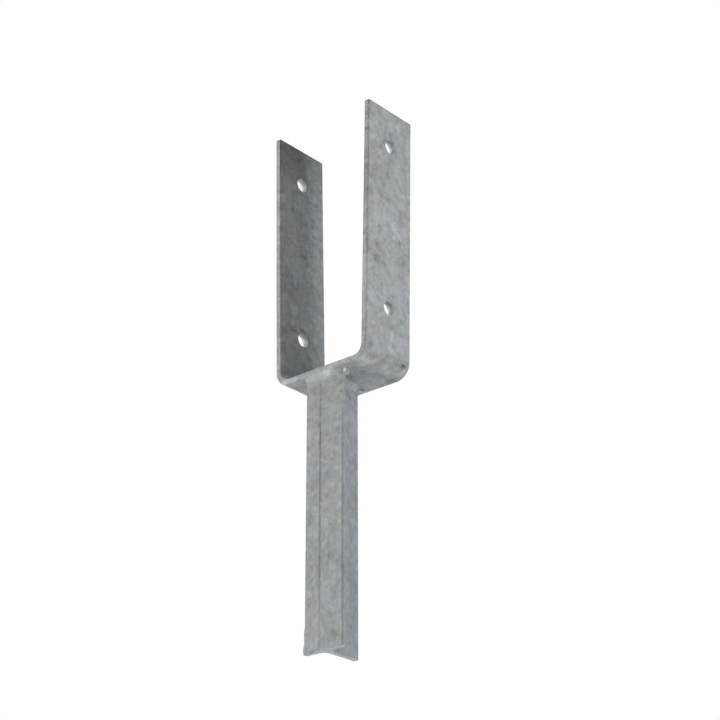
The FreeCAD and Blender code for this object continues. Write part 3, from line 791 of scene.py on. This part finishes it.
# %% [markdown]
# ## Drops and frozen zinc
# Where the welder stopped, a drop of metal stands beside the front bead.  Zinc itself
# also leaves lumps: when the part is lifted from the bath, the last of it runs down an
# edge and freezes at the lowest corner.  Each is a ball squashed along its axes and
# dented by a few sines, squarer where it wraps a corner, and sunk into the steel so
# that only its outer part shows.

# %% Lumps of metal
COATS = {"galvanised_weld": weld_coat, "galvanised_tee": tee_coat}
LUMP_ROWS, LUMP_COLUMNS = 40, 60
NEAR_POLE = 0.03
LOWEST = 0.05


def lump(name, centre, reach, material_slot, roundness, seed):
    """A dented egg.

    A unit ball's points are (sin p cos a, sin p sin a, cos p).  The cosine and sine of a
    are raised to the power `roundness`, sign kept: 1 leaves a round plan, and 0.5 makes
    it nearly square.  The result times reach swells by a few sines of its direction.
    Nothing goes below LOWEST, so a lump at the foot has a flat underside.
    """
    polar = np.linspace(NEAR_POLE, np.pi - NEAR_POLE, LUMP_ROWS)[:, None]
    around = np.linspace(0, 2 * np.pi, LUMP_COLUMNS, endpoint=False)[None, :]
    cosine = np.sign(np.cos(around)) * np.abs(np.cos(around)) ** roundness
    sine = np.sign(np.sin(around)) * np.abs(np.sin(around)) ** roundness
    x = np.sin(polar) * cosine
    y = np.sin(polar) * sine
    z = np.cos(polar) * np.ones_like(around)
    swell = 1 + 0.05 * np.sin(3.1 * x + seed) * np.sin(2.7 * y + 2 * seed)
    swell = swell + 0.03 * np.sin(5.3 * z + 3 * seed)
    rings = np.array(centre) + np.stack([x, y, z], axis=-1) * np.array(reach) * swell[..., None]
    rings[..., 2] = np.maximum(rings[..., 2], LOWEST)
    piece = closed_tube(name, rings, COATS[material_slot])
    return piece


lump("weld_drop_front", (17.9, FLANGE + 2.2, WEB - 1.3), (3.1, 3.1, 3.1),
     "galvanised_weld", roundness=1.0, seed=1.3)
lump("zinc_run_left_edge", (1.4 - HALF_FLANGE, FLANGE + 2.1, 11.0), (2.1, 2.2, 15.0),
     "galvanised_tee", roundness=0.4, seed=4.2)
lump("zinc_knob_left_corner", (1.4 - HALF_FLANGE, FLANGE + 2.1, 2.0), (2.9, 2.4, 8.5),
     "galvanised_tee", roundness=0.45, seed=2.2)
lump("zinc_crust_foot", (6.0 - HALF_FLANGE, FLANGE + 1.9, 1.6), (6.2, 2.15, 4.0),
     "galvanised_tee", roundness=0.5, seed=0.7)

# %% [markdown]
# ## Zinc in the seam
# The seam rolled into the flange is a groove.  Dipping nearly filled it, so only a
# shallow line is left, with two deeper stretches.

# %% The strip of zinc
STRIP_ROWS = 300
SHALLOW, WAVER, OVERLAP, ROOT_DEPTH, EASE = 0.13, 0.04, 0.05, 0.6, 3.0
# The two deeper stretches: from and to, in millimetres below the web, and how deep.
DEEPER = ((37.0, 66.0, 0.10), (72.0, 108.0, 0.05))


def seam_filling(name):
    """A strip whose front lies some depth inside the groove.

    depth(z) = a shallow dip that wavers a little, plus two long dips in which the zinc
    did not take.  The strip is as wide as the groove is at that depth, and a little more.
    """
    levels = np.linspace(0.3, WEB - 2.0, STRIP_ROWS)
    below = WEB - levels
    depth = SHALLOW + WAVER * np.sin(levels / 5.3) * np.sin(levels / 13.7)
    for low, high, extra in DEEPER:
        inside = np.clip((below - low) / EASE, 0.0, 1.0) * np.clip((high - below) / EASE, 0.0, 1.0)
        depth = depth + extra * inside
    half_width = GROOVE_HALF_MOUTH * (1.0 - depth / GROOVE_DEPTH) + OVERLAP
    across = np.array([-1.0, -0.5, 0.0, 0.5, 1.0, 0.4, 0.0, -0.4])
    front = np.array([1.0, 1.0, 1.0, 1.0, 1.0, 0.0, 0.0, 0.0])
    x = SEAM_X + half_width[:, None] * across
    y = FLANGE + depth[:, None] * front + ROOT_DEPTH * (1.0 - front)
    z = levels[:, None] * np.ones(len(across))
    return closed_tube(name, np.stack([x, y, z], axis=-1), tee_coat)


seam_filling("zinc_in_seam")

# %% [markdown]
# ## Floor and surroundings
# The part stands on a pale table, and the camera looks up at it from under the
# table's level.  So the table is made like a light table: it has no back, and lamps
# below shine through it.  Seen from above it is a plain pale floor that keeps the
# part's shadow, and further off it clears into the white of the room.

# %% Floor
HALF_FLOOR = 3.0
FLOOR_LEVEL = -0.4 * MM
FLOOR_CLEAR_FROM, FLOOR_CLEAR_TO = 0.35, 1.3
FLOOR_GREY = (0.84, 0.84, 0.84, 1)
FLOOR_ROUGHNESS = 0.9
FLOOR_GLOW = 0.76
WHITE = (1, 1, 1, 1)

floor_mesh = bpy.data.meshes.new("floor")
floor_mesh.from_pydata([(x * HALF_FLOOR, y * HALF_FLOOR, FLOOR_LEVEL)
                        for x, y in ((-1, -1), (1, -1), (1, 1), (-1, 1))], [], [(0, 1, 2, 3)])
floor = bpy.data.objects.new("floor", floor_mesh)
bpy.context.scene.collection.objects.link(floor)

table = Shader(bpy.data.materials.new("pale_table"))
table_top = table.tree.nodes["Principled BSDF"]
table.feed(table_top.inputs["Base Color"], FLOOR_GREY)
table.feed(table_top.inputs["Roughness"], FLOOR_ROUGHNESS)
opaque = Signal(table, table_top.outputs[0])
# Light that bounces off the table meets an even glow in place of its lit top: painted light, with
# no shadow of the part in it.
glow = table.node("ShaderNodeEmission", {}, {"Color": WHITE, "Strength": FLOOR_GLOW})
lit = table.node("ShaderNodeMixShader", {}, {0: ray_is(table, "Diffuse"), 1: opaque, 2: glow})

from_below = table.node("ShaderNodeNewGeometry", {}, {}, output="Backfacing")
east, north, _ = split(table, table.node("ShaderNodeTexCoord", {}, {}, output="Object"))
far_off = step(table, root(east * east + north * north), FLOOR_CLEAR_FROM, FLOOR_CLEAR_TO)
see_through = larger(larger(from_below, ray_is(table, "Shadow")), ray_is(table, "Camera") * far_off)
clear = table.node("ShaderNodeBsdfTransparent", {}, {})
seen = table.node("ShaderNodeMixShader", {}, {0: see_through, 1: lit, 2: clear})
table.feed(table.tree.nodes["Material Output"].inputs["Surface"], seen)
coat(floor, table.owner)
print("floor is", 2 * HALF_FLOOR, "m wide and clear for the camera beyond", FLOOR_CLEAR_TO, "m")

# %% [markdown]
# ## The world and the lamps
# The camera and clear reflections see white all round, but the dull light from all
# sides is much weaker, so that each face keeps its own tone.  Most of the light comes
# from four wide lamps: left, right, above and below.  Their width keeps shadows soft.

# %% World
AMBIENT = (0.215, 0.22, 0.222, 1)

world = bpy.data.worlds.new("studio")
bpy.context.scene.world = world
studio = Shader(world)
mirrored = larger(ray_is(studio, "Glossy"), ray_is(studio, "Transmission"))
shows_white = larger(ray_is(studio, "Camera"), mirrored)
ambient = studio.node("ShaderNodeBackground", {}, {"Color": AMBIENT, "Strength": 1.0})
white = studio.node("ShaderNodeBackground", {}, {"Color": WHITE, "Strength": 1.0})
sky = studio.node("ShaderNodeMixShader", {}, {0: shows_white, 1: ambient, 2: white})
studio.feed(studio.tree.nodes["World Output"].inputs["Surface"], sky)
print("dull light from the world:", AMBIENT[:3])


# %% Lamps
def softbox(name, direction, distance, width, height, power):
    """A rectangular lamp that looks at the middle of the part."""
    toward = Vector(direction).normalized()
    light = bpy.data.lights.new(name, "AREA")
    light.shape = "RECTANGLE"
    light.size, light.size_y, light.energy = width, height, power
    lamp = bpy.data.objects.new(name, light)
    bpy.context.scene.collection.objects.link(lamp)
    lamp.location = Vector((0, 0, (cad_low.z + cad_high.z) / 2)) + toward * distance
    lamp.rotation_euler = toward.to_track_quat("Z", "Y").to_euler()
    print(name, "gives", power, "W")


softbox("lamp_left", (-0.75, -0.66, 0.25), distance=1.7, width=1.0, height=1.2, power=13.8)
softbox("lamp_right", (0.995, 0.10, -0.03), distance=1.7, width=0.6, height=0.7, power=11.2)
softbox("lamp_above", (0.0, -0.1, 1.0), distance=1.7, width=1.2, height=1.2, power=16.5)
softbox("lamp_below", (0.1, -0.1, -1.0), distance=1.2, width=1.4, height=1.4, power=4.2)

# %% [markdown]
# ## View
# The Standard view keeps colours as they are lit.

# %% View
bpy.context.scene.view_settings.view_transform = "Standard"
